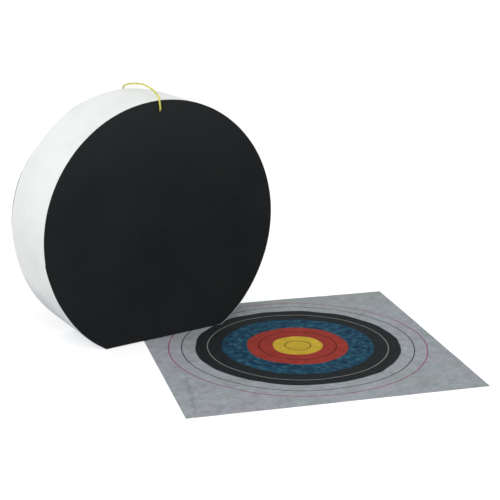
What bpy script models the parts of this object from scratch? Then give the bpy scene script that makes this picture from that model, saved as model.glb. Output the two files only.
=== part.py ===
"""Rolled foam archery target with its target face.

One long strip of black closed-cell foam is wound into a disc, sawn flat along the base
so that it stands, and held together by a white sheet band lapped round it. A yellow
rope goes through the roll near the top and makes a carry loop over the rim. The printed
target face lies on the floor with its back corner under the disc.

Metres, +Z up. The floor is z = 0, the shooting face looks along -Y, and x = 0 is the
middle of the flat base.
"""

import math

import bmesh
import bpy
from mathutils import Vector

# Overall sizes of the disc, outside its wrap
target_radius = 0.302
target_depth = 0.170
base_cut_depth = 0.039
corner_bulge = 0.0042

# Foam strip and its winding
strip_thickness = 0.012
winding_gap = 0.0005
core_radius = 0.001
skived_turns = 1.5
rounding_turns = 7
thinnest_web = 0.003
round_turns = 3
gather_margin = math.radians(1.5)
web_samples = 24
coarse_steps = 24
fine_steps = 48
coarse_turns = 9

# White wrap
wrap_thickness = 0.0008
wrap_front_setback = 0.0003
wrap_back_setback = 0.0013
lap_length = 0.036
lap_gap = 0.0005
lap_ramp = 0.0198
wrap_steps = 96
fit_gap = 0.0003

# Carry rope, its hole and its knot
rope_diameter = 0.0045
rope_hole_clearance = 0.00085
rope_hole_x = -0.0045
rope_hole_turns_in = 2
rope_mouth_fillet = 0.0015
mouth_steps = 4
rope_bevel_steps = 2
knot_diameter = 0.020
knot_height = 0.018
knot_neck_diameter = 0.0115
knot_fullness = 0.7
knot_steps = 8
knot_tail_length = 0.018
knot_tail_spread = math.radians(11)
knot_tail_offset = 0.0026

# Target face, a sheet on the floor: the middle of its rings, its turn, and its edges from there
sheet_thickness = 0.0004
sheet_centre = Vector((0.2275, -0.3041, 0))
sheet_turn = math.radians(-18.63)
sheet_to_left = 0.3405
sheet_to_right = 0.3270
sheet_to_front = 0.3382
sheet_to_back = 0.3263

# Places that follow from the sizes
base_z = sheet_thickness + fit_gap
centre_height = target_radius - base_cut_depth
centre_z = base_z + centre_height
front_y = -target_depth / 2
back_y = target_depth / 2
roll_radius = target_radius - wrap_thickness - fit_gap
roll_flat = centre_height - wrap_thickness - fit_gap
strip_pitch = strip_thickness + winding_gap
rope_hole_radius = rope_diameter / 2 + rope_hole_clearance
rope_hole_from_centre = roll_radius - rope_hole_turns_in * strip_pitch + winding_gap / 2
rope_hole_z = centre_z + rope_hole_from_centre
cut_margin = 0.02
round_steps = 20
crease_angle = math.radians(35)

# The bulge of the roll over its two base corners, by the angle from straight down
bulge_peak = math.radians(28)
bulge_end = math.radians(66)

# The winding is counted in turns, and each whole number is a pass over the base
last_pass = math.floor((roll_radius - core_radius) / strip_pitch)
winding_offset = roll_radius + winding_gap - (last_pass + 0.5) * strip_pitch
strip_start = (core_radius - winding_offset) / strip_pitch - skived_turns / 2
round_from = last_pass - round_turns
gather_angle = math.acos(roll_flat / roll_radius) - gather_margin

# The rope's line from the knot through the hole, over the rim and back to the knot,
# in millimetres from the hole's front mouth: to the right, to the back, up
rope_route = (
    (-2.6, 180.0, -16.0),
    (-2.6, 180.0, -13.0),
    (-1.7, 179.3, -8.6),
    (-0.5, 176.6, -3.9),
    (0.0, 172.6, -1.1),
    (0.0, 167.0, -0.1),
    (0.0, 160.0, 0.0),
    (0.0, 130.0, 0.0),
    (0.0, 85.0, 0.0),
    (0.0, 40.0, 0.0),
    (0.0, 11.0, 0.0),
    (0.0, 5.0, 0.05),
    (-0.1, 0.2, 1.0),
    (-1.2, -3.6, 4.9),
    (-2.2, -5.0, 11.0),
    (-3.0, -5.2, 18.0),
    (-3.5, -4.7, 25.2),
    (-3.4, -2.2, 31.6),
    (-3.2, 4.2, 36.8),
    (-2.6, 15.5, 41.3),
    (-1.0, 37.6, 46.7),
    (0.2, 69.5, 50.3),
    (0.8, 93.0, 49.7),
    (1.2, 115.0, 47.6),
    (1.4, 138.0, 44.0),
    (1.5, 155.0, 40.0),
    (1.5, 166.5, 36.4),
    (1.6, 173.6, 31.0),
    (2.6, 177.4, 22.0),
    (4.1, 179.6, 11.0),
    (4.5, 180.6, 0.0),
    (3.4, 180.3, -8.6),
    (2.6, 180.0, -13.0),
    (2.6, 180.0, -16.0),
)
rope_steps = 2


def clear_scene():
    for old in list(bpy.data.objects):
        bpy.data.objects.remove(old, do_unlink=True)


def make_collection(name):
    collection = bpy.data.collections.new(name)
    bpy.context.scene.collection.children.link(collection)
    return collection


def make_material(name, colour, roughness, metallic=0.0):
    material = bpy.data.materials.new(name)
    material.use_nodes = True
    shader = material.node_tree.nodes["Principled BSDF"]
    shader.inputs["Base Color"].default_value = (*colour, 1)
    shader.inputs["Roughness"].default_value = roughness
    shader.inputs["Metallic"].default_value = metallic
    return material


def smoothstep(share):
    share = min(max(share, 0), 1)
    return share * share * (3 - 2 * share)


def angle_from_down(angle):
    """How far a direction in the face, counted from +X towards +Z, lies from straight down."""
    turned = (angle + math.pi / 2) % math.tau
    return min(turned, math.tau - turned)


def bulge_factor(angle):
    """The roll stands a little out of round over the two corners of its base."""
    down = angle_from_down(angle)
    if down < bulge_peak:
        share = down / bulge_peak
    else:
        share = max(0, (bulge_end - down) / (bulge_end - bulge_peak))
    return 1 + corner_bulge / target_radius * math.sin(share * math.pi / 2) ** 2


def in_face(radius, angle):
    """The point of the roll's section at this radius, before its bulge, and this angle."""
    reach = radius * bulge_factor(angle)
    return (reach * math.cos(angle), centre_z + reach * math.sin(angle))


def even_growth(turn):
    """Turns counted evenly, but gathering slowly at first, where the strip is skived thin."""
    along = turn - strip_start
    if along < skived_turns:
        return strip_start + skived_turns / 2 + along * along / (2 * skived_turns)
    return turn


def gathered_growth(turn):
    """Turns that grow only in the stretch over the base and stay round for the rest."""
    nearest = math.floor(turn + 0.5)
    share = gather_angle / math.tau
    return nearest - 0.5 + smoothstep((turn - nearest + share) / (2 * share))


def strip_inside(turn):
    """Radius of the strip's inner surface after so many turns: even inside, round outside."""
    evenness = smoothstep((round_from - turn) / rounding_turns)
    growth = evenness * even_growth(turn) + (1 - evenness) * gathered_growth(turn)
    return winding_offset + strip_pitch * growth


def strip_outside(turn):
    return strip_inside(turn + 1) - winding_gap


def winding_angle(turn):
    return turn * math.tau - math.pi / 2


def web_over_base(crossing):
    """What the saw leaves of the strip, at its thinnest, on this pass over the base."""
    share = gather_angle / math.tau
    least = math.inf
    for step in range(-web_samples, web_samples + 1):
        turn = crossing + share * step / web_samples
        x, z = in_face(strip_inside(turn), winding_angle(turn))
        least = min(least, z - centre_z + roll_flat)
    return least


def turns_between(first, last):
    """The turn counts at which the strip's facets meet, on one grid of angles for all turns."""
    counts = [first]
    step = math.floor(first * coarse_steps) + 1
    while step / coarse_steps < min(last, coarse_turns):
        counts.append(step / coarse_steps)
        step += 1
    step = max(math.floor(first * fine_steps) + 1, coarse_turns * fine_steps)
    while step / fine_steps < last - 0.1 / fine_steps:
        counts.append(step / fine_steps)
        step += 1
    return counts + [last]


def make_band(name, inner, outer, front, back, material, collection):
    """A strip between two lines in the plane of the face, carried from its front to its back edge."""
    mesh = bpy.data.meshes.new(name)
    form = bmesh.new()
    ends = [form.verts.new((p[0], front, p[1])) for p in (inner[0], outer[0])]
    edge = form.edges.new(ends)
    for near, far in zip(inner[1:], outer[1:]):
        grown = bmesh.ops.extrude_edge_only(form, edges=[edge])["geom"]
        edge = next(e for e in grown if isinstance(e, bmesh.types.BMEdge))
        for vertex, old in zip(edge.verts, ends):
            vertex.co = old.co
        by_side = sorted(edge.verts, key=lambda v: (v.co - ends[0].co).length)
        by_side[0].co = (near[0], front, near[1])
        by_side[1].co = (far[0], front, far[1])
        ends = by_side
    bmesh.ops.recalc_face_normals(form, faces=form.faces)
    form.faces.ensure_lookup_table()
    if form.faces[0].normal.y > 0:
        bmesh.ops.reverse_faces(form, faces=form.faces)
    form.to_mesh(mesh)
    form.free()
    mesh.materials.append(material)
    band = bpy.data.objects.new(name, mesh)
    collection.objects.link(band)
    depth = band.modifiers.new("depth", "SOLIDIFY")
    depth.thickness = back - front
    depth.offset = -1
    return band


def make_strip(name, first, last, material, collection):
    counts = turns_between(first, last)
    inner = [in_face(strip_inside(t), winding_angle(t)) for t in counts]
    outer = [in_face(strip_outside(t), winding_angle(t)) for t in counts]
    return make_band(name, inner, outer, front_y, back_y, material, collection)


def cut(piece, cutter):
    saw = piece.modifiers.new("cut by " + cutter.name, "BOOLEAN")
    saw.operation = "DIFFERENCE"
    saw.object = cutter


def as_cutter(piece):
    piece.hide_render = True
    piece.display_type = "WIRE"
    return piece


def make_base_cutter(collection):
    """The saw's cut along the base: everything below the flat of the roll."""
    side = 2 * (target_radius + cut_margin)
    bpy.ops.mesh.primitive_cube_add(size=1)
    cutter = bpy.context.object
    cutter.name = "base_cutter"
    cutter.scale = (side, side, side)
    cutter.location = (0, 0, centre_z - roll_flat - side / 2)
    bpy.ops.object.transform_apply(location=False, rotation=False, scale=True)
    for owner in list(cutter.users_collection):
        owner.objects.unlink(cutter)
    collection.objects.link(cutter)
    return as_cutter(cutter)


def make_turned(name, profile, collection, material=None):
    """A turned shape from (radius, height) points, listed from its top down its outer side."""
    mesh = bpy.data.meshes.new(name)
    form = bmesh.new()
    points = [form.verts.new((radius, 0, height)) for radius, height in profile]
    for one, other in zip(points, points[1:]):
        form.edges.new((one, other))
    form.to_mesh(mesh)
    form.free()
    if material:
        mesh.materials.append(material)
    turned = bpy.data.objects.new(name, mesh)
    collection.objects.link(turned)
    screw = turned.modifiers.new("turn", "SCREW")
    screw.steps = round_steps
    screw.render_steps = round_steps
    screw.use_merge_vertices = True
    screw.merge_threshold = 0.00001
    return turned


def make_rope_hole_cutter(collection):
    """The hole for the rope, with both mouths rounded where the rope bears on them."""
    profile = [(0, target_depth / 2 + cut_margin)]
    mouth = rope_hole_radius + rope_mouth_fillet
    profile.append((mouth, target_depth / 2 + cut_margin))
    for side in (1, -1):
        arc = []
        for step in range(mouth_steps + 1):
            angle = math.pi / 2 * step / mouth_steps
            radius = mouth - rope_mouth_fillet * math.sin(angle)
            depth = target_depth / 2 - rope_mouth_fillet * (1 - math.cos(angle))
            arc.append((radius, side * depth))
        profile += arc if side > 0 else arc[::-1]
    profile.append((mouth, -target_depth / 2 - cut_margin))
    profile.append((0, -target_depth / 2 - cut_margin))
    cutter = make_turned("rope_hole_cutter", profile, collection)
    cutter.location = (rope_hole_x, 0, rope_hole_z)
    cutter.rotation_euler = (math.radians(90), 0, 0)
    return as_cutter(cutter)


def make_foam(material, parts, base_cutter, hole_cutter):
    """The wound strip: whole as far as the saw leaves it whole, then its severed outer turns."""
    whole_until = math.ceil(strip_start) + 1
    while web_over_base(whole_until) >= thinnest_web:
        whole_until += 1
    kerf = winding_gap / roll_radius / math.tau
    names = ["foam_roll"]
    spans = [(strip_start, whole_until - kerf)]
    for number, crossing in enumerate(range(whole_until, last_pass), start=1):
        names.append("outer_turn_%d" % number)
        spans.append((crossing + kerf, crossing + 1 - kerf))
    for name, (first, last) in zip(names, spans):
        strip = make_strip(name, first, last, material, parts)
        cut(strip, base_cutter)
        reach = rope_hole_radius + rope_mouth_fillet
        innermost = strip_inside(first + 0.5) - reach
        outermost = strip_outside(last - 0.5) + reach
        if innermost < rope_hole_from_centre < outermost:
            cut(strip, hole_cutter)
    return whole_until


def wrap_corner(radius, height):
    """Angle from straight down at which an outline of this radius meets its flat base."""
    low, high = 0.0, math.pi / 2
    for _ in range(50):
        middle = (low + high) / 2
        reach = radius * bulge_factor(middle - math.pi / 2) * math.cos(middle)
        low, high = (middle, high) if reach > height else (low, middle)
    return low


def make_wrap(material, parts):
    """The white band: it starts under its own lap, runs over the top and back under the base."""
    inner_radius = target_radius - wrap_thickness
    inner_corner = wrap_corner(inner_radius, centre_height - wrap_thickness)
    outer_corner = wrap_corner(target_radius, centre_height)
    nine_oclock = math.pi
    straight_down = -math.pi / 2
    facet = math.tau / wrap_steps
    start = nine_oclock + lap_length / target_radius
    right_corner = straight_down + outer_corner
    left_corner = straight_down + math.tau - outer_corner

    grid = [nine_oclock + facet * n for n in range(wrap_steps // 4, -wrap_steps, -1)]
    over_top = [start] + [a for a in grid if start - facet / 4 > a > right_corner + facet / 4]
    inner = [in_face(inner_radius, angle) for angle in over_top]
    outer = [in_face(target_radius, angle) for angle in over_top]
    for side in (1, -1):
        inner_x = side * (centre_height - wrap_thickness) * math.tan(inner_corner)
        outer_x = side * centre_height * math.tan(outer_corner)
        inner.append((inner_x, base_z + wrap_thickness))
        outer.append((outer_x, base_z))

    ramp_head = start + facet / 3
    ramp_foot = ramp_head + lap_ramp / target_radius
    for angle in [a for a in grid if left_corner - facet / 4 > a > nine_oclock - facet / 4]:
        share = smoothstep((ramp_foot - angle) / (ramp_foot - ramp_head))
        lift = (wrap_thickness + lap_gap) * share
        inner.append(in_face(inner_radius + lift, angle))
        outer.append(in_face(target_radius + lift, angle))
    front = front_y + wrap_front_setback
    back = back_y - wrap_back_setback
    return make_band("side_wrap", inner, outer, front, back, material, parts)


def smooth_line(points, steps):
    """Points on a Catmull-Rom curve through the given ones, with so many steps between each two."""
    padded = [2 * points[0] - points[1], *points, 2 * points[-1] - points[-2]]
    line = []
    for a, b, c, d in zip(padded, padded[1:], padded[2:], padded[3:]):
        for step in range(steps):
            t = step / steps
            line.append(
                0.5
                * (
                    2 * b
                    + (c - a) * t
                    + (2 * a - 5 * b + 4 * c - d) * t**2
                    + (3 * b - a - 3 * c + d) * t**3
                )
            )
    return line + [points[-1]]


def rope_line():
    mouth = Vector((rope_hole_x, front_y, rope_hole_z))
    route = [mouth + Vector(point) / 1000 for point in rope_route]
    return smooth_line(route, rope_steps)


def make_tube(name, points, diameter, material, parts, pivot):
    curve = bpy.data.curves.new(name, "CURVE")
    curve.dimensions = "3D"
    curve.bevel_depth = diameter / 2
    curve.bevel_resolution = rope_bevel_steps
    curve.use_fill_caps = True
    spline = curve.splines.new("POLY")
    spline.points.add(len(points) - 1)
    for place, point in zip(spline.points, points):
        place.co = (*(point - pivot), 1)
    curve.materials.append(material)
    tube = bpy.data.objects.new(name, curve)
    tube.location = pivot
    parts.objects.link(tube)
    return tube


def make_knot(top, material, parts, guides, pivot):
    """The knot as a barrel under the two ends of the rope, with the rope's two cut tails."""
    neck = knot_neck_diameter / 2
    profile = [(0, 0), (neck, 0)]
    for step in range(1, knot_steps):
        angle = math.pi * step / knot_steps
        radius = neck + (knot_diameter / 2 - neck) * math.sin(angle) ** knot_fullness
        profile.append((radius, -knot_height / 2 * (1 - math.cos(angle))))
    profile += [(neck, -knot_height), (0, -knot_height)]
    knot = make_turned("rope_knot", profile, parts, material)
    knot.location = top
    for side in (-1, 1):
        bpy.ops.mesh.primitive_cylinder_add(vertices=12, radius=rope_diameter / 2, depth=knot_tail_length)
        tail = bpy.context.object
        tail.name = "tail_left" if side < 0 else "tail_right"
        tail.rotation_euler = (0, -side * knot_tail_spread, 0)
        lean = Vector((side * math.sin(knot_tail_spread), 0, -math.cos(knot_tail_spread)))
        foot = top + Vector((side * knot_tail_offset, 0, -knot_height + rope_diameter))
        tail.location = foot + lean * knot_tail_length / 2
        for owner in list(tail.users_collection):
            owner.objects.unlink(tail)
        guides.objects.link(as_cutter(tail))
        joined = knot.modifiers.new("tail", "BOOLEAN")
        joined.operation = "UNION"
        joined.object = tail
    return knot


def make_target_face(material, parts):
    corners = (
        (-sheet_to_left, -sheet_to_front),
        (sheet_to_right, -sheet_to_front),
        (sheet_to_right, sheet_to_back),
        (-sheet_to_left, sheet_to_back),
    )
    curve = bpy.data.curves.new("target_face", "CURVE")
    curve.dimensions = "2D"
    curve.fill_mode = "BOTH"
    curve.extrude = sheet_thickness / 2
    spline = curve.splines.new("POLY")
    spline.points.add(len(corners) - 1)
    spline.use_cyclic_u = True
    for place, corner in zip(spline.points, corners):
        place.co = (*corner, 0, 1)
    curve.materials.append(material)
    sheet = bpy.data.objects.new("target_face", curve)
    sheet.location = sheet_centre + Vector((0, 0, sheet_thickness / 2))
    sheet.rotation_euler = (0, 0, sheet_turn)
    parts.objects.link(sheet)
    return sheet


def shade_round(piece):
    piece.data.shade_smooth()
    piece.data.set_sharp_from_angle(angle=crease_angle)


def distance_to_line(point, start, end):
    along = end - start
    share = min(max((point - start).dot(along) / along.length_squared, 0), 1)
    return (start + along * share - point).length


def print_least_gaps(whole_until):
    """Measures the strip's gap to its own next turn, on the points of its facets."""
    counts = [t for t in turns_between(strip_start, whole_until) if t + 1 < whole_until]
    nexts = [t for t in turns_between(strip_start, whole_until) if t >= strip_start + 1]
    inside = [Vector(in_face(strip_inside(t), winding_angle(t))) for t in nexts]
    least = math.inf
    for count in counts:
        point = Vector(in_face(strip_outside(count), winding_angle(count)))
        for before, start, end in zip(nexts, inside, inside[1:]):
            if abs(before - count - 1) < 2 / coarse_steps:
                least = min(least, distance_to_line(point, start, end))
    loops = whole_until - strip_start
    print("foam strip: %.1f unbroken loops, least gap to itself %.2f mm" % (loops, least * 1000))


def main():
    clear_scene()
    parts = make_collection("rolled_foam_target")
    cutters = make_collection("cutters")

    foam = make_material("black foam", (0.014, 0.016, 0.017), 0.75)
    white = make_material("white wrap", (0.83, 0.86, 0.86), 0.5)
    yellow = make_material("yellow rope", (0.75, 0.58, 0.05), 0.6)
    printed = make_material("printed sheet", (0.30, 0.33, 0.35), 0.8)

    base_cutter = make_base_cutter(cutters)
    hole_cutter = make_rope_hole_cutter(cutters)
    whole_until = make_foam(foam, parts, base_cutter, hole_cutter)
    make_wrap(white, parts)

    pivot = Vector((rope_hole_x, 0, rope_hole_z))
    line = rope_line()
    make_tube("carry_rope", line, rope_diameter, yellow, parts, pivot)
    knot_top = (line[0] + line[-1]) / 2 - Vector((0, 0, fit_gap))
    make_knot(knot_top, yellow, parts, cutters, pivot)
    make_target_face(printed, parts)
    for piece in parts.objects:
        if piece.type == "MESH":
            shade_round(piece)
    print_least_gaps(whole_until)


main()
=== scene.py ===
import math

import bmesh
import bpy
from mathutils import Matrix, Vector, noise


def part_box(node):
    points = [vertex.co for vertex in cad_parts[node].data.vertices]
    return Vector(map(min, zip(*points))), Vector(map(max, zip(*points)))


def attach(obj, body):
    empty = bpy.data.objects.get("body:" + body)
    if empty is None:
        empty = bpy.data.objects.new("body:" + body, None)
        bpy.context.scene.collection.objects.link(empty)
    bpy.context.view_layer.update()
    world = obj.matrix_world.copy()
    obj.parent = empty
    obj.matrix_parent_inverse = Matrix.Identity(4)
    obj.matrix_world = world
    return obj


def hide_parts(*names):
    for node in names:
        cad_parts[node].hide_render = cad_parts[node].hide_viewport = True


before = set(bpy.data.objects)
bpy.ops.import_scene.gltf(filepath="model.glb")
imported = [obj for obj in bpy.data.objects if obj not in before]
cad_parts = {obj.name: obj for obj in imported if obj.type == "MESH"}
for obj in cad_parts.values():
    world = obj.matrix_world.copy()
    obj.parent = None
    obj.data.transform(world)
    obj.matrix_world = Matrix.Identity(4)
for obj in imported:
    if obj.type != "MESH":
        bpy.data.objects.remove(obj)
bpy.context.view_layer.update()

# Places that every piece shares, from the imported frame: the disc faces -Y and stands on the floor at x = 0
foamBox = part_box("foam_roll")
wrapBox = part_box("side_wrap")
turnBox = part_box("outer_turn_2")

disc = {
    "radius": 0.302,            # outside the wrap
    "frontY": foamBox[0].y,
    "backY": foamBox[1].y,
    "baseZ": wrapBox[0].z,      # the underside of the wrap, on top of the sheet
    "rollRadius": 0.3009,       # outside the foam, under the wrap
    "cornerBulge": 0.0042,      # at the front the roll stands out of round over its two base corners
    "bulgePeak": math.radians(28),
    "bulgeEnd": math.radians(66),
    # at the back it is uneven all the way round: how far it stands out, at so many degrees round the rim
    "backUneven": (
        (0, 0.0), (60, 0.0005), (96, 0.0024), (108, 0.0026), (118, 0.0018), (128, -0.0003), (137, -0.0020),
        (146, -0.0002), (156, 0.0016), (168, 0.0006), (178, 0.0004), (187, -0.0024), (205, -0.0021),
        (222, -0.0030), (236, -0.0026), (270, -0.0010), (330, 0.0), (360, 0.0),
    ),
}
disc["centreZ"] = wrapBox[1].z - disc["radius"]
disc["depth"] = disc["backY"] - disc["frontY"]
disc["sawnZ"] = turnBox[0].z


def smoothStep(share):
    share = min(max(share, 0), 1)
    return share * share * (3 - 2 * share)


# A value read from a table by the angle round the rim, with smooth steps between its rows
def readTable(table, angle):
    degrees = math.degrees(angle) % 360
    for (start, low), (end, high) in zip(table, table[1:]):
        if degrees <= end:
            return low + (high - low) * smoothStep((degrees - start) / (end - start))


# How much further out the roll stands at this place, as a factor
def outOfRound(angle, y):
    turned = (angle + math.pi / 2) % math.tau
    down = min(turned, math.tau - turned)
    if down < disc["bulgePeak"]:
        share = down / disc["bulgePeak"]
    else:
        share = max(0, (disc["bulgeEnd"] - down) / (disc["bulgeEnd"] - disc["bulgePeak"]))
    front = disc["cornerBulge"] * math.sin(share * math.pi / 2) ** 2
    deep = min(max((y - disc["frontY"]) / disc["depth"], 0), 1)
    return 1 + (front + (readTable(disc["backUneven"], angle) - front) * deep) / disc["radius"]


def onDisc(radius, angle, y):
    reach = radius * outOfRound(angle, y)
    return Vector((reach * math.cos(angle), y, disc["centreZ"] + reach * math.sin(angle)))


# Smooth noise from about -1 to 1 over distances of scale metres
def wander(spot, scale, seed=0.0):
    return noise.noise(Vector(spot) / scale + Vector((seed, 3 * seed, 7 * seed)))


def finishMesh(name, bm, material, creaseAngle=35):
    bmesh.ops.recalc_face_normals(bm, faces=bm.faces)
    mesh = bpy.data.meshes.new(name)
    bm.to_mesh(mesh)
    bm.free()
    mesh.materials.append(material)
    mesh.shade_smooth()
    mesh.set_sharp_from_angle(angle=math.radians(creaseAngle))
    piece = bpy.data.objects.new(name, mesh)
    bpy.context.scene.collection.objects.link(piece)
    return piece


# A thin sheet from one layer of faces: its upward side is the outer one, and its cut edges stay sharp
def finishSheet(name, bm, material, thickness, creaseAngle=40):
    bmesh.ops.recalc_face_normals(bm, faces=bm.faces)
    if max(bm.faces, key=lambda face: face.calc_center_median().z).normal.z < 0:
        bmesh.ops.reverse_faces(bm, faces=bm.faces)
    for edge in bm.edges:
        edge.smooth = not edge.is_boundary and edge.calc_face_angle(0) < math.radians(creaseAngle)
    for face in bm.faces:
        face.smooth = True
    mesh = bpy.data.meshes.new(name)
    bm.to_mesh(mesh)
    bm.free()
    mesh.materials.append(material)
    piece = bpy.data.objects.new(name, mesh)
    bpy.context.scene.collection.objects.link(piece)
    wall = piece.modifiers.new("thickness", "SOLIDIFY")
    wall.thickness = thickness
    wall.offset = -1
    return piece


# Shader helpers
def newNode(tree, kind, inputs=None, **settings):
    node = tree.nodes.new("ShaderNode" + kind)
    for key, value in settings.items():
        setattr(node, key, value)
    for key, value in (inputs or {}).items():
        if isinstance(value, bpy.types.NodeSocket):
            tree.links.new(value, node.inputs[key])
        else:
            node.inputs[key].default_value = value
    return node


# A colour as it shows on screen, 0 to 255, in the numbers that the shaders work in
def linear(red, green, blue):
    shown = [value / 255 for value in (red, green, blue)]
    return (*[v / 12.92 if v <= 0.04045 else ((v + 0.055) / 1.055) ** 2.4 for v in shown], 1)


def mixColour(tree, factor, first, second, blend="MIX"):
    node = newNode(tree, "Mix", data_type="RGBA", blend_type=blend)
    for key, value in ((0, factor), (6, first), (7, second)):
        if isinstance(value, bpy.types.NodeSocket):
            tree.links.new(value, node.inputs[key])
        else:
            node.inputs[key].default_value = value
    return node.outputs[2]


def compute(tree, operation, *values, clamp=False):
    node = newNode(tree, "Math", operation=operation, use_clamp=clamp)
    for key, value in enumerate(values):
        if isinstance(value, bpy.types.NodeSocket):
            tree.links.new(value, node.inputs[key])
        else:
            node.inputs[key].default_value = value
    return node.outputs[0]


def mapRange(tree, value, fromMin, fromMax, toMin=0.0, toMax=1.0):
    inputs = {"Value": value, "From Min": fromMin, "From Max": fromMax, "To Min": toMin, "To Max": toMax}
    return newNode(tree, "MapRange", inputs).outputs[0]


def addNoise(tree, place, scale, detail, roughness=0.5, distortion=0.0):
    inputs = {
        "Vector": place,
        "Scale": scale,
        "Detail": detail,
        "Roughness": roughness,
        "Distortion": distortion,
    }
    return newNode(tree, "TexNoise", inputs).outputs["Fac"]


def addBump(tree, shader, height, strength, distance):
    bump = newNode(tree, "Bump", {"Strength": strength, "Distance": distance, "Height": height})
    tree.links.new(bump.outputs[0], shader.inputs["Normal"])


def newMaterial(name):
    material = bpy.data.materials.new(name)
    material.use_nodes = True
    return material, material.node_tree, material.node_tree.nodes["Principled BSDF"]


# Soft blotches and a fine grain on Object coordinates, used by the materials of every piece
def mottleGroup():
    tree = bpy.data.node_groups.new("mottle", "ShaderNodeTree")
    for key, low in (("Blotch Scale", 8.0), ("Grain Scale", 400.0)):
        tree.interface.new_socket(key, in_out="INPUT", socket_type="NodeSocketFloat").default_value = low
    for key in ("Blotch", "Grain"):
        tree.interface.new_socket(key, in_out="OUTPUT", socket_type="NodeSocketFloat")
    start = tree.nodes.new("NodeGroupInput")
    end = tree.nodes.new("NodeGroupOutput")
    place = newNode(tree, "TexCoord").outputs["Object"]
    tree.links.new(addNoise(tree, place, start.outputs[0], detail=4.0, roughness=0.55), end.inputs[0])
    tree.links.new(addNoise(tree, place, start.outputs[1], detail=2.0, roughness=0.6), end.inputs[1])
    return tree


mottle = mottleGroup()


def addMottle(tree, blotchScale, grainScale):
    group = tree.nodes.new("ShaderNodeGroup")
    group.node_tree = mottle
    group.inputs[0].default_value = blotchScale
    group.inputs[1].default_value = grainScale
    return group.outputs["Blotch"], group.outputs["Grain"]


# Camera, at the place the photograph was taken from
view = {
    "spot": Vector((-1.4024, -2.5312, 1.0514)),
    "azimuth": math.radians(-33.88),
    "elevation": math.radians(16.56),
    "roll": math.radians(0.18),
    "lens": 91.06,
}


def makeCamera():
    camera = bpy.data.objects.new("camera", bpy.data.cameras.new("camera"))
    bpy.context.scene.collection.objects.link(camera)
    turn, lift = view["azimuth"], view["elevation"]
    back = Vector((math.sin(turn) * math.cos(lift), -math.cos(turn) * math.cos(lift), math.sin(lift)))
    level = (-back).cross(Vector((0, 0, 1))).normalized()
    upward = level.cross(-back)
    right = math.cos(view["roll"]) * level + math.sin(view["roll"]) * upward
    up = -math.sin(view["roll"]) * level + math.cos(view["roll"]) * upward
    camera.matrix_world = Matrix.Translation(view["spot"]) @ Matrix((right, up, back)).transposed().to_4x4()
    camera.data.lens = view["lens"]
    camera.data.sensor_width = 36
    camera.data.clip_end = 200
    bpy.context.scene.camera = camera


makeCamera()

# Carry rope: yellow laid cord, through the hole, over the rim and down to its knot behind
rope = {
    "diameter": 0.0045,
    "strands": 3,
    "lay": 0.0135,              # length of one full turn of a strand
    "groove": 0.22,             # depth of the grooves between strands, of the radius
    "sides": 24,
    "ringGap": 0.0007,
    "holeX": -0.0045,           # the hole stands a little to the left of the middle
    "holeUp": 0.27615,          # and this far above the disc's centre
    "holeRadius": 0.0031,
    "mouthRound": 0.0015,
    "colour": linear(240, 235, 124),
    "shade": linear(206, 200, 80),
    "paintedMouthShade": linear(120, 118, 70),     # painted shade: darker where it goes into the hole
    "paintedMouthShadeOver": 0.008,        # how far from the hole that ends
    "paintedMouthShadeFully": 0.002,
    "yarns": 24,                # fine threads round the rope
    "patchScale": 60.0,
    "fibreScale": 2500.0,
    "roughness": 0.5,
    "specular": 0.35,
}

# The route in millimetres from the hole's front mouth: to the right, to the back, up
ropeRoute = (
    (-2.6, 180.0, -16.0),
    (-2.6, 180.0, -13.0),
    (-1.7, 179.3, -8.6),
    (-0.5, 176.6, -3.9),
    (0.0, 172.6, -1.1),
    (0.0, 167.0, -0.1),
    (0.0, 160.0, 0.0),
    (0.0, 130.0, 0.0),
    (0.0, 85.0, 0.0),
    (0.0, 40.0, 0.0),
    (0.0, 11.0, 0.0),
    (0.0, 5.0, 0.05),
    (-0.1, 0.2, 1.0),
    (-1.2, -3.6, 4.9),
    (-2.2, -5.0, 11.0),
    (-3.0, -5.2, 18.0),
    (-3.5, -4.7, 25.2),
    (-3.4, -2.2, 31.6),
    (-3.2, 4.2, 36.8),
    (-2.6, 15.5, 41.3),
    (-1.0, 37.6, 46.7),
    (0.2, 69.5, 50.3),
    (0.8, 93.0, 49.7),
    (1.2, 115.0, 47.6),
    (1.4, 138.0, 44.0),
    (1.5, 155.0, 40.0),
    (1.5, 166.5, 36.4),
    (1.6, 173.6, 31.0),
    (2.6, 177.4, 22.0),
    (4.1, 179.6, 11.0),
    (4.5, 180.6, 0.0),
    (3.4, 180.3, -8.6),
    (2.6, 180.0, -13.0),
    (2.6, 180.0, -16.0),
)


# Evenly spaced points on a Catmull-Rom curve through the given ones
def smoothLine(points, gap):
    ends = [2 * points[0] - points[1], *points, 2 * points[-1] - points[-2]]
    fine = []
    for a, b, c, d in zip(ends, ends[1:], ends[2:], ends[3:]):
        for step in range(20):
            t = step / 20
            square, cube = 2 * a - 5 * b + 4 * c - d, 3 * b - a - 3 * c + d
            fine.append((2 * b + (c - a) * t + square * t**2 + cube * t**3) / 2)
    fine.append(points[-1])
    walked = [0.0]
    for one, other in zip(fine, fine[1:]):
        walked.append(walked[-1] + (other - one).length)
    count = round(walked[-1] / gap)
    line, at = [], 0
    for step in range(count + 1):
        goal = walked[-1] * step / count
        while at < len(fine) - 2 and walked[at + 1] < goal:
            at += 1
        share = (goal - walked[at]) / max(walked[at + 1] - walked[at], 1e-9)
        line.append(fine[at].lerp(fine[at + 1], min(share, 1)))
    return line, walked[-1]


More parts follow.
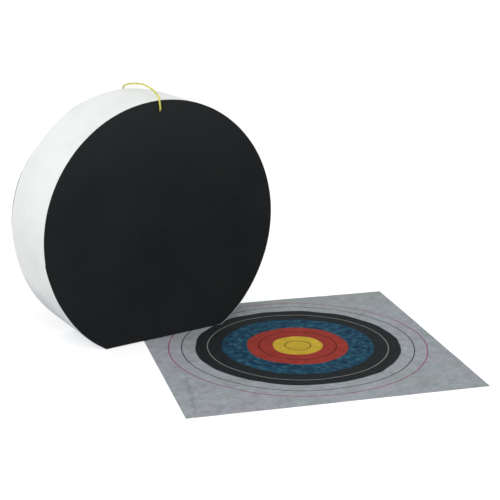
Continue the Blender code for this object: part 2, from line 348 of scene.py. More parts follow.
# A rope of twisted strands along a line: one ring of points carried along it and closed at both ends
def laidTube(name, line, material, twistFrom=0.0):
    bm = bmesh.new()
    sides, radius = rope["sides"], rope["diameter"] / 2
    flat = bm.loops.layers.uv.new("rope")       # metres along the rope, and turns round it
    bmesh.ops.create_grid(bm, x_segments=len(line) - 1, y_segments=sides, size=0.5, calc_uvs=True)
    frames = []
    across = (line[1] - line[0]).orthogonal().normalized()
    for index, spot in enumerate(line):
        ahead = (line[min(index + 1, len(line) - 1)] - line[max(index - 1, 0)]).normalized()
        across = (across - ahead * across.dot(ahead)).normalized()
        frames.append((spot, across.copy(), ahead.cross(across)))
    step = (line[-1] - line[-2]).length
    for face in bm.faces:
        for corner in face.loops:
            corner[flat].uv.x *= step * (len(line) - 1)
    for vertex in bm.verts:
        index = round((vertex.co.x + 0.5) * (len(line) - 1))
        side = round((vertex.co.y + 0.5) * sides) % sides
        spot, across, over = frames[index]
        angle = math.tau * side / sides
        twist = math.tau * index * step / rope["lay"] + twistFrom
        lobe = abs(math.cos(rope["strands"] / 2 * (angle - twist))) ** 0.5
        reach = radius * (1 - rope["groove"] + rope["groove"] * lobe)
        vertex.co = spot + (across * math.cos(angle) + over * math.sin(angle)) * reach
    bmesh.ops.remove_doubles(bm, verts=bm.verts, dist=1e-7)
    bmesh.ops.holes_fill(bm, edges=[edge for edge in bm.edges if edge.is_boundary])
    return finishMesh(name, bm, material, creaseAngle=60)


def ropeMaterial(mouth):
    material, tree, shader = newMaterial("yellow laid cord")
    blotch, grain = addMottle(tree, rope["patchScale"], rope["fibreScale"])
    colour = mixColour(tree, mapRange(tree, blotch, 0.3, 0.7), rope["shade"], rope["colour"])
    flat = newNode(tree, "SeparateXYZ", {0: newNode(tree, "UVMap", uv_map="rope").outputs[0]})
    phase = compute(tree, "MULTIPLY", flat.outputs["Y"], math.tau * rope["yarns"])
    phase = compute(tree, "MULTIPLY_ADD", flat.outputs["X"], math.tau / rope["lay"], phase)
    yarn = compute(tree, "SINE", phase)
    threads = mapRange(tree, yarn, -1.0, 0.2, toMin=0.8)
    colour = mixColour(tree, 1.0, colour, threads, "MULTIPLY")
    place = newNode(tree, "TexCoord").outputs["Object"]
    # painted shade: the rope is darker near the hole's mouth
    away = newNode(tree, "VectorMath", {0: place, 1: mouth}, operation="DISTANCE").outputs["Value"]
    paintedMouthShade = mapRange(tree, away, rope["paintedMouthShadeOver"], rope["paintedMouthShadeFully"])
    colour = mixColour(tree, paintedMouthShade, colour, rope["paintedMouthShade"])
    tree.links.new(colour, shader.inputs["Base Color"])
    addBump(tree, shader, compute(tree, "MULTIPLY_ADD", yarn, 0.35, grain), strength=0.5, distance=0.0002)
    shader.inputs["Roughness"].default_value = rope["roughness"]
    shader.inputs["Specular IOR Level"].default_value = rope["specular"]
    return material


ropeMouth = Vector((rope["holeX"], disc["frontY"], disc["centreZ"] + rope["holeUp"]))
ropeYellow = ropeMaterial(ropeMouth)
ropePoints = [ropeMouth + Vector(point) / 1000 for point in ropeRoute]
ropeLine, ropeLength = smoothLine(ropePoints, rope["ringGap"])
carryRope = laidTube("carryRope", ropeLine, ropeYellow)
print("rope: %.3f m along its line" % ropeLength)

# Knot: both ends of the rope tied together, with two short tails
knot = {
    "centreDrop": 0.0085,       # from the rope's ends to the middle of the knot
    "startsInside": 0.0006,     # how far up in the rope's ends its strands begin
    "neck": 0.004,              # how far they then go straight down
    # their way through the knot and out as its tails: to the side in rope radii, to the back, up
    "strandRoute": (
        (0.96, 0, -0.002),
        (1.05, 0, -0.010),
        (1.5, 0.0005, -0.017),
        (2.4, 0.0005, -0.026),
    ),
    "turns": 1.9,               # of each of the two coils round the strands
    "pitch": 0.0047,
    "coilRadius": 2.95,         # in rope radii
    "breadth": 1.15,            # the coils are a little wider than deep
    "tucked": 0.25,             # how much tighter each coil is at its ends
    "closeness": 0.98,          # gap between the two coils, in pitches
    "secondStart": 0.1,
    "coilDrop": 0.0015,
    "coilSteps": 32,
}


def makeKnot():
    top = (ropeLine[0] + ropeLine[-1]) / 2
    middle = top - Vector((0, 0, knot["centreDrop"]))
    pieces = []
    half = rope["diameter"] / 2
    for side, start in ((-1, ropeLine[0]), (1, ropeLine[-1])):
        points = [start + Vector((0, 0, knot["startsInside"])), start - Vector((0, 0, knot["neck"]))]
        for aside, back, up in knot["strandRoute"]:
            points.append(middle + Vector((side * half * aside, back, up)))
        line, _ = smoothLine(points, rope["ringGap"])
        pieces.append(laidTube("knotStrand", line, ropeYellow, side))
    turns, pitch = knot["turns"], knot["pitch"]
    for side in (-1, 1):
        points = []
        for step in range(knot["coilSteps"] + 1):
            share = step / knot["coilSteps"]
            angle = math.tau * turns * share + (0 if side > 0 else knot["secondStart"])
            height = (0.5 - share) * turns * pitch + side * pitch / 2 * knot["closeness"]
            out = half * knot["coilRadius"] * (1 - knot["tucked"] * smoothStep(abs(share - 0.5) * 8 - 3))
            across = out * math.cos(angle) * knot["breadth"]
            points.append(middle + Vector((across, out * math.sin(angle), height - knot["coilDrop"])))
        line, _ = smoothLine(points, rope["ringGap"])
        pieces.append(laidTube("knotWrap", line, ropeYellow, side))
    bm = bmesh.new()
    for piece in pieces:
        bm.from_mesh(piece.data)
        bpy.data.objects.remove(piece)
    return finishMesh("ropeKnot", bm, ropeYellow, creaseAngle=60)


ropeKnot = makeKnot()

# Foam: one long thin strip rolled up, its edge the shooting face, sawn flat along the base
foam = {
    "layer": 0.004,             # thickness of the strip and the air next to it
    "seam": 0.0002,             # the air
    "core": 0.0009,             # the strip's tight start
    "skivedTurns": 1.5,         # over which it is cut thin toward its start
    "roundTurns": 6,            # outer turns that are round, and grow only over the base
    "roundingTurns": 14,        # over which they go from even to round
    "gather": math.radians(27), # how far to either side of the base a round turn grows
    "severedTurns": 10,         # outer turns that the saw cuts through
    "kerf": 0.0001,             # gap between two of them under the base, in turns
    # facets to a turn, out to so many turns from the middle
    "ringsPerTurn": ((9, 32), (30, 64), (math.inf, 96)),
    "edgeRound": 0.0005,
    "unevenEdge": 0.00022,      # how far a turn's edge stands in or out of the face
    "slippedTurns": 4,          # outer turns that have slipped out at the back, behind the wrap
    "slipped": (                # how far, at so many degrees round the rim
        (0, 0.0), (60, 0.0), (95, 0.0008), (108, 0.0020), (117, 0.0034), (125, 0.0016), (138, 0.0010),
        (148, 0.0024), (158, 0.0038), (168, 0.0046), (175, 0.0036), (184, 0.0), (360, 0.0),
    ),
    "colour": linear(32, 34, 36),
    "dust": linear(38, 40, 41),
    "paintedTopLight": linear(45, 47, 48),      # painted light: paler toward the top, as if lit more from above
    "paintedTopLightFrom": 0.36,
    "paintedTopLightTo": 0.58,
    "patchScale": 6.0,
    "cellScale": 900.0,
    "roughness": 0.85,
    "specular": 0.06,
}
foam["lastPass"] = math.floor((disc["rollRadius"] - foam["core"]) / foam["layer"])
foam["offset"] = disc["rollRadius"] + foam["seam"] - (foam["lastPass"] + 0.5) * foam["layer"]
foam["start"] = (foam["core"] - foam["offset"]) / foam["layer"] - foam["skivedTurns"] / 2


# Radius of the strip's inner side after so many turns: even inside, round outside
def stripInside(turn):
    along = turn - foam["start"]
    even = turn
    if along < foam["skivedTurns"]:
        even = foam["start"] + foam["skivedTurns"] / 2 + along * along / (2 * foam["skivedTurns"])
    nearest = math.floor(turn + 0.5)
    share = foam["gather"] / math.tau
    gathered = nearest - 0.5 + smoothStep((turn - nearest + share) / (2 * share))
    evenness = smoothStep((foam["lastPass"] - foam["roundTurns"] - turn) / foam["roundingTurns"])
    return foam["offset"] + foam["layer"] * (evenness * even + (1 - evenness) * gathered)


def stripOutside(turn):
    return stripInside(turn + 1) - foam["seam"]


# Where the strip's rings of points lie, in turns: fewer to a turn near the middle of the roll
def turnGrid(first, last):
    counts = [first]
    turn = first
    while True:
        steps = next(rings for limit, rings in foam["ringsPerTurn"] if turn < limit)
        turn = (math.floor(turn * steps + 1e-6) + 1) / steps
        if turn > last - 0.1 / steps:
            return counts + [last]
        counts.append(turn)


# The strip's section, (share of its depth, share of its thickness, inset), with rounded edges
def sectionPoints():
    points = []
    for corner, (deep, thick) in enumerate(((0, 0), (0, 1), (1, 1), (1, 0))):
        for step in range(3):
            angle = math.radians(45 * step)
            along, over = 1 - math.sin(angle), 1 - math.cos(angle)
            if corner % 2:
                along, over = over, along
            points.append((deep, thick, along * (1 - 2 * deep), over * (1 - 2 * thick)))
    return points


# How far the strip has slipped out at the back, here
def slippedBy(turn, angle):
    outermost = smoothStep(1 - (foam["lastPass"] - 0.5 - turn) / foam["slippedTurns"])
    return readTable(foam["slipped"], angle) * outermost


# Rolls up a stretch of the flat strip, between two counts of turns
def rollStrip(bm, first, last):
    section = sectionPoints()
    counts = turnGrid(first, last)
    grid = bmesh.ops.create_grid(bm, x_segments=len(counts) - 1, y_segments=len(section), size=0.5)
    strip = grid["verts"]
    rings = []
    for turn in counts:
        angle = turn * math.tau - math.pi / 2
        # the edge wanders along the strip, and a whole turn lies further in or out than the next
        x, z = math.cos(angle), math.sin(angle)
        along = wander((3 * x, 3 * z, 1.7 * turn), 1.0)
        whole = wander((0.2 * x, 0.2 * z, math.floor(turn + 0.5) * 5.3), 1.0, 2.0)
        out = foam["unevenEdge"] * (along + 1.4 * whole)
        rings.append((angle, stripInside(turn), stripOutside(turn), out, slippedBy(turn, angle)))
    for vertex in strip:
        angle, inside, outside, out, slip = rings[round((vertex.co.x + 0.5) * (len(counts) - 1))]
        deep, thick, along, over = section[round((vertex.co.y + 0.5) * len(section)) % len(section)]
        rounding = min(foam["edgeRound"], (outside - inside) * 0.4)
        radius = inside + (outside - inside) * thick + rounding * over
        y = disc["frontY"] + disc["depth"] * deep + rounding * along
        y += out + slip if deep else -out
        vertex.co = onDisc(radius, angle, y)
    bmesh.ops.remove_doubles(bm, verts=strip, dist=1e-6)
    bmesh.ops.holes_fill(bm, edges=[edge for edge in bm.edges if edge.is_boundary])


# Cuts the roll flat along its base and closes the cut ends of the turns
def sawBase(bm):
    cut = bmesh.ops.bisect_plane(
        bm,
        geom=bm.verts[:] + bm.edges[:] + bm.faces[:],
        dist=1e-7,
        plane_co=(0, 0, disc["sawnZ"]),
        plane_no=(0, 0, -1),
        clear_outer=True,
    )
    edges = [item for item in cut["geom_cut"] if isinstance(item, bmesh.types.BMEdge)]
    bmesh.ops.holes_fill(bm, edges=edges)


def foamMaterial():
    material, tree, shader = newMaterial("black closed-cell foam")
    blotch, grain = addMottle(tree, foam["patchScale"], foam["cellScale"])
    colour = mixColour(tree, mapRange(tree, blotch, 0.35, 0.7), foam["colour"], foam["dust"])
    # painted light: the foam is made paler toward its top
    height = newNode(tree, "SeparateXYZ", {0: newNode(tree, "TexCoord").outputs["Object"]}).outputs["Z"]
    high = mapRange(tree, height, foam["paintedTopLightFrom"], foam["paintedTopLightTo"])
    colour = mixColour(tree, high, colour, foam["paintedTopLight"])
    cells = mapRange(tree, grain, 0.3, 0.7, toMin=0.75, toMax=1.2)
    colour = mixColour(tree, 1.0, colour, cells, "MULTIPLY")
    tree.links.new(colour, shader.inputs["Base Color"])
    addBump(tree, shader, grain, strength=0.5, distance=0.0006)
    shader.inputs["Roughness"].default_value = foam["roughness"]
    shader.inputs["Specular IOR Level"].default_value = foam["specular"]
    return material


foamBlack = foamMaterial()


def makeFoamRoll():
    bm = bmesh.new()
    rollStrip(bm, foam["start"], foam["lastPass"] - foam["severedTurns"] - foam["kerf"])
    sawBase(bm)
    return finishMesh("foamRoll", bm, foamBlack)


# The rope's hole from face to face, with rounded mouths, bored out of the outer turns
def boreRopeHole(piece):
    bm = bmesh.new()
    middle = Vector((rope["holeX"], 0, ropeMouth.z))
    half, wide = disc["depth"] / 2, rope["holeRadius"] + rope["mouthRound"]
    past, steps = 0.01, 5       # how far the drill reaches past each face, and facets round a mouth
    ends = [bm.verts.new(middle + Vector((wide, -half - past, 0)))]
    for side in (-1, 1):
        for step in range(steps + 1):
            turned = math.pi / 2 * (step if side < 0 else steps - step) / steps
            reach = wide - rope["mouthRound"] * math.sin(turned)
            depth = half - rope["mouthRound"] * (1 - math.cos(turned))
            ends.append(bm.verts.new(middle + Vector((reach, side * depth, 0))))
    ends.append(bm.verts.new(middle + Vector((wide, half + past, 0))))
    line = [bm.edges.new(pair) for pair in zip(ends, ends[1:])]
    bmesh.ops.spin(
        bm,
        geom=ends + line,
        cent=middle,
        axis=(0, 1, 0),
        angle=math.tau,
        steps=32,
        use_merge=True,
        use_duplicate=False,
    )
    bmesh.ops.holes_fill(bm, edges=[edge for edge in bm.edges if edge.is_boundary])
    drill = finishMesh("drill", bm, piece.data.materials[0])
    cut = piece.modifiers.new("rope hole", "BOOLEAN")
    cut.operation = "DIFFERENCE"
    cut.solver = "EXACT"
    cut.object = drill
    bored = bpy.data.meshes.new_from_object(piece.evaluated_get(bpy.context.evaluated_depsgraph_get()))
    piece.modifiers.clear()
    piece.data = bored
    piece.data.set_sharp_from_angle(angle=math.radians(35))
    bpy.data.objects.remove(drill)


def makeOuterTurns():
    bm = bmesh.new()
    for turn in range(foam["lastPass"] - foam["severedTurns"], foam["lastPass"]):
        rollStrip(bm, turn + foam["kerf"], turn + 1 - foam["kerf"])
    sawBase(bm)
    turns = finishMesh("outerTurns", bm, foamBlack)
    boreRopeHole(turns)
    return turns


foamRoll = makeFoamRoll()
outerTurns = makeOuterTurns()
print("foam: %d triangles in the roll, %d in its outer turns" % (
    sum(len(face.vertices) - 2 for face in foamRoll.data.polygons),
    sum(len(face.vertices) - 2 for face in outerTurns.data.polygons),
))

# Wrap: a white sheet band that starts under its own lap at nine o'clock
wrap = {
    "thickness": 0.0008,
    "frontSetback": 0.0003,     # how far its edges lie in from the faces
    "backSetback": 0.0018,
    "baseSetback": 0.0032,      # further in where the disc stands on it
    "setbackOver": 0.03,
    "facets": 288,              # round the whole rim
    "baseCells": 24,
    "rows": 30,                 # from front to back
    "lap": 0.036,
    "lapLift": 0.0009,          # how far the outer end stands off there
    "lapRamp": 8,               # facets over which the outer end climbs on to the inner one
    "lapPressed": 3,            # facets at its very end that are pressed flat
    "lapEndLift": 0.00015,
    "lapInset": 0.2,            # how far in its edges are drawn there, in lifts
    "cornerRound": math.radians(0.2),       # the fold where the rim meets the base
    "cornerShift": math.radians(20),        # over which the rim follows that fold to its place at the back
    "ripple": 0.0005,           # how far the loose band stands off the foam
    "edgeWave": 0.00025,
    "colour": linear(245, 248, 247),
    "smudge": linear(236, 239, 240),
    "paintedShade": linear(180, 190, 202),
    "paintedShadeBelow": 0.16,        # painted shade: height under which the band is grey, as in shade toward the floor
    "paintedShadeFully": 0.02,
    "paintedShadeWander": 0.12,       # how much that height goes up and down
    "patchScale": 11.0,
    "grainScale": 300.0,
    "roughness": 0.5,
    "specular": 0.4,
}


# Where the roll meets its base, at this depth: the angle from straight down, on one side
def baseCorner(side, y):
    base = disc["centreZ"] - disc["baseZ"]
    down = math.radians(30)     # a first guess, which twelve rounds make exact
    for _ in range(12):
        down = math.acos(base / (disc["radius"] * outOfRound(side * down - math.pi / 2, y)))
    return down


# Where the band's cross lines lie at its front: an angle on the rim, or an x along the base, with a lift
def wrapStations():
    base = disc["centreZ"] - disc["baseZ"]
    outerRadius = disc["radius"]
    corner = baseCorner(1, disc["frontY"])
    start = math.pi + wrap["lap"] / outerRadius
    facet = math.tau / wrap["facets"]
    rounding = wrap["cornerRound"]
    stations = []
    angle = start
    while angle > -math.pi / 2 + corner + rounding:
        stations.append(("rim", angle, 0.0))
        angle -= facet
    cornerX = base * math.tan(corner)
    stations.append(("rim", -math.pi / 2 + corner + rounding, 0.0))
    halfBase = cornerX - outerRadius * rounding
    for step in range(wrap["baseCells"] + 1):
        stations.append(("base", halfBase * (1 - step / (wrap["baseCells"] / 2)), 0.0))
    angle = math.pi * 1.5 - corner - rounding
    while angle > math.pi - facet * 0.2:
        climb = wrap["lapRamp"] * facet
        lift = wrap["lapLift"] * smoothStep((start + climb - angle) / climb)
        pressed = smoothStep(1 - (angle - math.pi) / (wrap["lapPressed"] * facet))
        stations.append(("rim", angle, lift + (wrap["lapEndLift"] - lift) * pressed))
        angle -= facet
    return stations, base, corner


def makeWrap():
    stations, base, frontCorner = wrapStations()
    halfBase = max(where for kind, where, _ in stations if kind == "base")
    corners = {}
    bm = bmesh.new()
    bmesh.ops.create_grid(bm, x_segments=len(stations) - 1, y_segments=wrap["rows"], size=0.5)
    front = disc["frontY"] + wrap["frontSetback"]
    back = disc["backY"] - wrap["backSetback"]
    radius = disc["radius"]
    for vertex in bm.verts:
        kind, where, lift = stations[round((vertex.co.x + 0.5) * (len(stations) - 1))]
        share = vertex.co.y + 0.5
        y = front + (back - front) * share
        turned = where if kind == "base" else (where + math.pi) % math.tau - math.pi + math.pi / 2
        if kind == "rim" and turned > math.pi:
            turned -= math.tau
        side = math.copysign(1, turned)
        if (side, y) not in corners:
            corners[side, y] = baseCorner(side, y)
        corner = corners[side, y]
        if kind == "base":
            spot = Vector((where * math.tan(corner) / math.tan(frontCorner), y, disc["centreZ"] - base))
            drawnIn = smoothStep((halfBase - abs(where)) / wrap["setbackOver"])
            spot.y += wrap["baseSetback"] * drawnIn * (1 - 2 * share)
        else:
            near = max(0, 1 - (abs(turned) - frontCorner) / wrap["cornerShift"])
            where += side * (corner - frontCorner) * near
            spot = onDisc(radius + lift, where, y)
            # long and short ripples: the band leaves the foam only where they stand out
            loose = wander(spot, 0.09, 1.0) + 0.5 * wander(spot, 0.035, 2.0) + 0.35
            outward = Vector((math.cos(where), 0, math.sin(where)))
            spot += outward * (wrap["ripple"] * max(0, loose))
        edge = wander((spot.x, share * 3, spot.z), 0.05, 4.0) * wrap["edgeWave"] + wrap["lapInset"] * lift
        vertex.co = spot + Vector((0, edge * (1 - 2 * share), 0))
    return finishSheet("sideWrap", bm, wrapWhite, wrap["thickness"])


def wrapMaterial():
    material, tree, shader = newMaterial("white sheet wrap")
    blotch, grain = addMottle(tree, wrap["patchScale"], wrap["grainScale"])
    colour = mixColour(tree, mapRange(tree, blotch, 0.45, 0.75), wrap["colour"], wrap["smudge"])
    place = newNode(tree, "SeparateXYZ", {0: newNode(tree, "TexCoord").outputs["Object"]})
    # painted shade: the band is greyer toward the floor and toward its back
    middle = wrap["paintedShadeBelow"] - wrap["paintedShadeWander"] / 2
    edge = compute(tree, "MULTIPLY_ADD", blotch, wrap["paintedShadeWander"], middle)
    low = mapRange(tree, place.outputs["Z"], edge, wrap["paintedShadeFully"])
    paintedShadeRear = mapRange(tree, place.outputs["Y"], disc["frontY"], disc["backY"], toMin=0.5)
    colour = mixColour(tree, compute(tree, "MULTIPLY", low, paintedShadeRear), colour, wrap["paintedShade"])
    tree.links.new(colour, shader.inputs["Base Color"])
    addBump(tree, shader, grain, strength=0.15, distance=0.0004)
    shader.inputs["Roughness"].default_value = wrap["roughness"]
    shader.inputs["Specular IOR Level"].default_value = wrap["specular"]
    return material


wrapWhite = wrapMaterial()
sideWrap = makeWrap()
print("wrap: done")

# Target face: the printed sheet on the floor, ten rings 30 mm wide, with its back corner under the disc
sheet = {
    "centre": Vector((0.2275, -0.3041, 0)),     # the middle of the rings
    "turn": math.radians(-18.63),
    "toLeft": 0.3405,           # from the rings' middle to each edge
    "toRight": 0.3270,
    "toFront": 0.3382,
    "toBack": 0.3263,
    "thickness": 0.0003,
    "cells": 200,               # along each side of its mesh
    "zone": 0.030,
    # where each printed colour ends and the next begins, a little inside its ring line
    "inks": (
        ("gold", 0.0586, 0.0594),
        ("red", 0.1182, 0.1190),
        ("blue", 0.1740, 0.1785),
        ("black", 0.2390, 0.2398),
    ),
    "edgeWobble": 0.012,        # how unevenly the colours are printed
    # the ring lines: which one, half its width, its colour and how strong it is
    "rings": (
        (1, 0.0013, linear(92, 80, 32), 0.9),
        (3, 0.0014, linear(80, 32, 32), 0.95),
        (5, 0.0012, linear(22, 42, 58), 0.7),
        (7, 0.0011, linear(152, 151, 143), 0.85),
        (9, 0.0014, linear(62, 68, 72), 0.95),
        (10, 0.0014, linear(146, 66, 102), 0.85),
    ),
    "paper": linear(164, 171, 176),
    "paperLilac": linear(166, 167, 175),
    "paperGreen": linear(156, 165, 164),
    "paperPaintedShade": linear(157, 163, 163),         # painted shade: darker toward the back edge, by the disc
    "paperShadeFrom": (-0.25, 0.0),                   # from one y to another
    "paperPaintedLight": linear(178, 180, 189),        # painted light: paler by the disc's foot, on its left
    "paperLightFrom": ((-0.38, -0.15), (0.05, -0.05)),       # from one y to another, and from one x
    "gold": linear(208, 177, 60),
    "red": linear(160, 60, 52),
    "blue": linear(34, 78, 100),
    "blueFleck": linear(70, 116, 136),
    "blueDeep": linear(24, 52, 78),
    "black": linear(39, 43, 45),
    "roughness": 0.85,
    "specular": 0.06,
    "patchScale": 30.0,
    "grainScale": 700.0,
    "wave": 0.0016,
    "pressedHalf": 0.158,       # half the width of the base, which presses the sheet flat
    "pressedOver": 0.05,
    "creaseWidth": 0.0045,
    "creaseBend": 0.006,        # how far a crease strays from its straight line
    "paintedCreaseShade": 0.16,         # painted shade: how much darker the paper is painted where it is creased most
    # creases in the paper, each from one spot on the floor to another, with its height
    "creases": (
        ((-0.094, -0.336), (-0.178, -0.509), 0.0014),
        ((0.034, -0.538), (0.011, -0.573), 0.0012),
        ((-0.061, -0.513), (-0.082, -0.548), 0.0010),
        ((0.395, -0.330), (0.520, -0.395), 0.0005),
        ((-0.060, -0.420), (0.030, -0.470), 0.0004),
        ((0.300, -0.560), (0.345, -0.640), 0.0005),
    ),
}


def sheetPoint(u, v):
    across = u * (sheet["toLeft"] + sheet["toRight"]) - sheet["toLeft"]
    deep = v * (sheet["toFront"] + sheet["toBack"]) - sheet["toFront"]
    flat = Vector((across, deep, 0))
    return Matrix.Rotation(sheet["turn"], 3, "Z") @ flat + sheet["centre"]


# 0 where the disc stands on the sheet, 1 well clear of it
def pressed(spot):
    out = max(abs(spot.x) - sheet["pressedHalf"], abs(spot.y) - disc["depth"] / 2, 0)
    return smoothStep(out / sheet["pressedOver"])


# How high the sheet stands in its creases, here
def creased(spot):
    height = 0
    for start, end, peak in sheet["creases"]:
        start, end = Vector((*start, 0)), Vector((*end, 0))
        bent = spot + Vector((wander(spot, 0.03, 9.0), wander(spot, 0.03, 10.0), 0)) * sheet["creaseBend"]
        share = (bent - start).dot(end - start) / (end - start).length_squared
        away = (bent - start.lerp(end, min(max(share, 0), 1))).length
        height += peak * math.exp(-(away / sheet["creaseWidth"]) ** 2)
    return height


def makeSheet():
    bm = bmesh.new()
    cells = sheet["cells"]
    bmesh.ops.create_grid(bm, x_segments=cells, y_segments=cells, size=0.5)
    creaseShadeLayer = bm.verts.layers.float.new("creaseShadeMask")      # 0 to 1, for the painted shade along the creases
    highest = max(peak for _, _, peak in sheet["creases"])
    for vertex in bm.verts:
        spot = sheetPoint(vertex.co.x + 0.5, vertex.co.y + 0.5)
        # long and short waves
        lift = wander(spot, 0.16, 5.0) + 0.5 * wander(spot, 0.06, 6.0)
        spot.z = sheet["thickness"] + sheet["wave"] * max(0, lift + 0.1) * pressed(spot)
        ridge = creased(Vector((spot.x, spot.y, 0)))
        vertex[creaseShadeLayer] = min(ridge / highest, 1)
        spot.z += ridge
        vertex.co = spot
    return finishSheet("targetFace", bm, printedSheet, sheet["thickness"])


def sheetMaterial():
    material, tree, shader = newMaterial("printed target sheet")
    place = newNode(tree, "TexCoord").outputs["Object"]
    centred = newNode(tree, "VectorMath", {0: place, 1: sheet["centre"]}, operation="SUBTRACT")
    flat = newNode(tree, "VectorMath", {0: centred.outputs[0], 1: (1, 1, 0)}, operation="MULTIPLY").outputs[0]
    distance = newNode(tree, "VectorMath", {0: flat}, operation="LENGTH").outputs["Value"]
    wobble = addNoise(tree, flat, 13.0, detail=1.2)
    spread = sheet["edgeWobble"]
    inked = compute(tree, "MULTIPLY_ADD", wobble, spread, compute(tree, "SUBTRACT", distance, spread / 2))
    blotch, grain = addMottle(tree, sheet["patchScale"], sheet["grainScale"])
    edge = 10 * sheet["zone"]
    zones = newNode(tree, "ValToRGB", {"Fac": compute(tree, "DIVIDE", inked, edge)})
    names = [ink for ink, _, _ in sheet["inks"]] + ["paper"]
    for (name, ends, _), (_, _, begins), after in zip(sheet["inks"], sheet["inks"], names[1:]):
        for at, shown in ((ends, name), (begins, after)):
            zones.color_ramp.elements.new(at / edge).color = sheet[shown]
    zones.color_ramp.elements[0].color = sheet["gold"]
    zones.color_ramp.elements[-1].color = sheet["paper"]
    fleck = addNoise(tree, flat, 70.0, detail=3.0, roughness=0.55)
    cloud = addNoise(tree, flat, 34.0, detail=2.0, distortion=0.6)
    blueFrom, blueTo = sheet["inks"][1][2], sheet["inks"][2][1]
    inBlue = compute(tree, "ABSOLUTE", compute(tree, "SUBTRACT", inked, (blueFrom + blueTo) / 2))
    inBlue = compute(tree, "LESS_THAN", inBlue, (blueTo - blueFrom) / 2)
    onPaper = compute(tree, "GREATER_THAN", inked, sheet["inks"][3][2])
    tone = addNoise(tree, flat, 11.0, detail=3.0, distortion=0.5)
    spot = newNode(tree, "SeparateXYZ", {0: place})
    (nearY, farY), (nearX, farX) = sheet["paperLightFrom"]
    toDisc = mapRange(tree, spot.outputs["Y"], nearY, farY)
    toLeft = mapRange(tree, spot.outputs["X"], nearX, farX)
    # tints laid one over another: where, inside what, and which
    tints = (
        (mapRange(tree, tone, 0.5, 0.66), onPaper, "paperLilac"),
        (mapRange(tree, tone, 0.5, 0.34), onPaper, "paperGreen"),
        # painted shade: the paper darker toward the back, by the disc
        (mapRange(tree, spot.outputs["Y"], *sheet["paperShadeFrom"]), onPaper, "paperPaintedShade"),
        # painted light: the paper paler by the disc's foot, on its left
        (compute(tree, "MULTIPLY", toDisc, toLeft), onPaper, "paperPaintedLight"),
        (mapRange(tree, cloud, 0.42, 0.62), inBlue, "blueDeep"),
        (mapRange(tree, fleck, 0.48, 0.82), inBlue, "blueFleck"),
    )
    colour = zones.outputs["Color"]
    for where, inside, tint in tints:
        colour = mixColour(tree, compute(tree, "MULTIPLY", where, inside), colour, sheet[tint])
    # the ink's patches, the paper's blotches and its fibres: darker and lighter; and painted shade along its
    # creases
    fibres = addNoise(tree, flat, 260.0, detail=2.0, roughness=0.7)
    creaseShadeMask = newNode(tree, "Attribute", attribute_name="creaseShadeMask").outputs["Fac"]
    shades = (
        mapRange(tree, fleck, 0.3, 0.7, toMin=0.88, toMax=1.1),
        mapRange(tree, blotch, 0.3, 0.7, toMin=0.88, toMax=1.08),
        mapRange(tree, fibres, 0.3, 0.7, toMin=0.9, toMax=1.08),
        # painted shade along the creases
        compute(tree, "MULTIPLY_ADD", creaseShadeMask, -sheet["paintedCreaseShade"], 1.0),
    )
    for shade in shades:
        colour = mixColour(tree, 1.0, colour, shade, "MULTIPLY")
    for zone, half, ink, strength in sheet["rings"]:
        off = compute(tree, "ABSOLUTE", compute(tree, "SUBTRACT", distance, zone * sheet["zone"]))
        mask = compute(tree, "MULTIPLY", compute(tree, "LESS_THAN", off, half), strength)
        colour = mixColour(tree, mask, colour, ink)
    tree.links.new(colour, shader.inputs["Base Color"])
    addBump(tree, shader, grain, strength=0.2, distance=0.0004)
    shader.inputs["Roughness"].default_value = sheet["roughness"]
    shader.inputs["Specular IOR Level"].default_value = sheet["specular"]
    return material


printedSheet = sheetMaterial()
targetFace = makeSheet()
print("target face: done")

# Pieces to their bodies
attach(foamRoll, "boss")
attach(outerTurns, "boss")
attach(sideWrap, "boss")
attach(carryRope, "carry_loop")
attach(ropeKnot, "carry_loop")
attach(targetFace, "target_face")
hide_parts("foam_roll")
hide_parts("outer_turn_1", "outer_turn_2")
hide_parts("side_wrap")
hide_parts("carry_rope")
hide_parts("rope_knot")
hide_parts("target_face")

# Floor, light and background: an even soft daylight from the upper left, on a white floor
studio = {
    "sky": 0.69,                # light from all round
    "sun": 0.19,                # share of a soft lamp far away, on a surface that faces it
    "sunFrom": Vector((-0.84, -0.42, 0.34)),
    "sunSoft": math.radians(55),
    "lampPower": 8.2,           # a smaller soft lamp in front of the disc's top
    "lampSize": 0.9,
    "lampFrom": Vector((-0.9, -1.4, 1.6)),
    "lampAim": Vector((0.0, -0.1, 0.4)),
    "floorSize": 60,
    "floor": linear(230, 230, 230),
    "floorGlow": 0.50,          # what lifts the floor to white in the camera's eyes alone
}


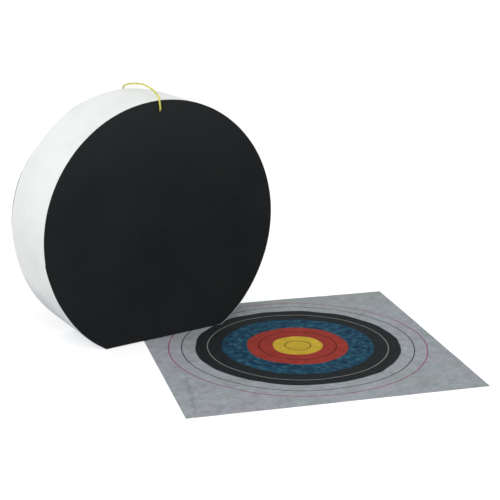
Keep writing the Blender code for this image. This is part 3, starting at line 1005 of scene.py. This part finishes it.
def makeFloor():
    bm = bmesh.new()
    bmesh.ops.create_grid(bm, x_segments=1, y_segments=1, size=studio["floorSize"])
    material, tree, shader = newMaterial("pale floor")
    shader.inputs["Base Color"].default_value = studio["floor"]
    shader.inputs["Roughness"].default_value = 0.9
    shader.inputs["Specular IOR Level"].default_value = 0.0
    shader.inputs["Emission Color"].default_value = (1, 1, 1, 1)
    eye = newNode(tree, "LightPath").outputs["Is Camera Ray"]
    tree.links.new(compute(tree, "MULTIPLY", eye, studio["floorGlow"]), shader.inputs["Emission Strength"])
    finishMesh("floor", bm, material)


def makeLights():
    lamp = bpy.data.lights.new("sun", "SUN")
    lamp.energy = studio["sun"] * math.pi
    lamp.angle = studio["sunSoft"]
    sun = bpy.data.objects.new("sun", lamp)
    sun.location = studio["sunFrom"] * 4
    sun.rotation_euler = studio["sunFrom"].to_track_quat("Z", "Y").to_euler()
    bpy.context.scene.collection.objects.link(sun)
    softBox = bpy.data.lights.new("softBox", "AREA")
    softBox.energy = studio["lampPower"]
    softBox.size = studio["lampSize"]
    lamp = bpy.data.objects.new("softBox", softBox)
    lamp.location = studio["lampFrom"]
    lamp.rotation_euler = (studio["lampFrom"] - studio["lampAim"]).to_track_quat("Z", "Y").to_euler()
    bpy.context.scene.collection.objects.link(lamp)
    world = bpy.data.worlds.new("studio")
    bpy.context.scene.world = world
    world.use_nodes = True
    tree = world.node_tree
    light = newNode(tree, "LightPath")
    plain = tree.nodes["Background"]
    plain.inputs["Color"].default_value = (1, 1, 1, 1)
    plain.inputs["Strength"].default_value = studio["sky"]
    white = newNode(tree, "Background", {"Color": (1, 1, 1, 1), "Strength": 1.0})
    seen = compute(tree, "MAXIMUM", light.outputs["Is Camera Ray"], light.outputs["Is Glossy Ray"])
    seen = compute(tree, "MAXIMUM", seen, light.outputs["Is Transmission Ray"])
    mix = newNode(tree, "MixShader", {0: seen, 1: plain.outputs[0], 2: white.outputs[0]})
    tree.links.new(mix.outputs[0], tree.nodes["World Output"].inputs["Surface"])


makeFloor()
makeLights()
bpy.context.scene.view_settings.view_transform = "Standard"
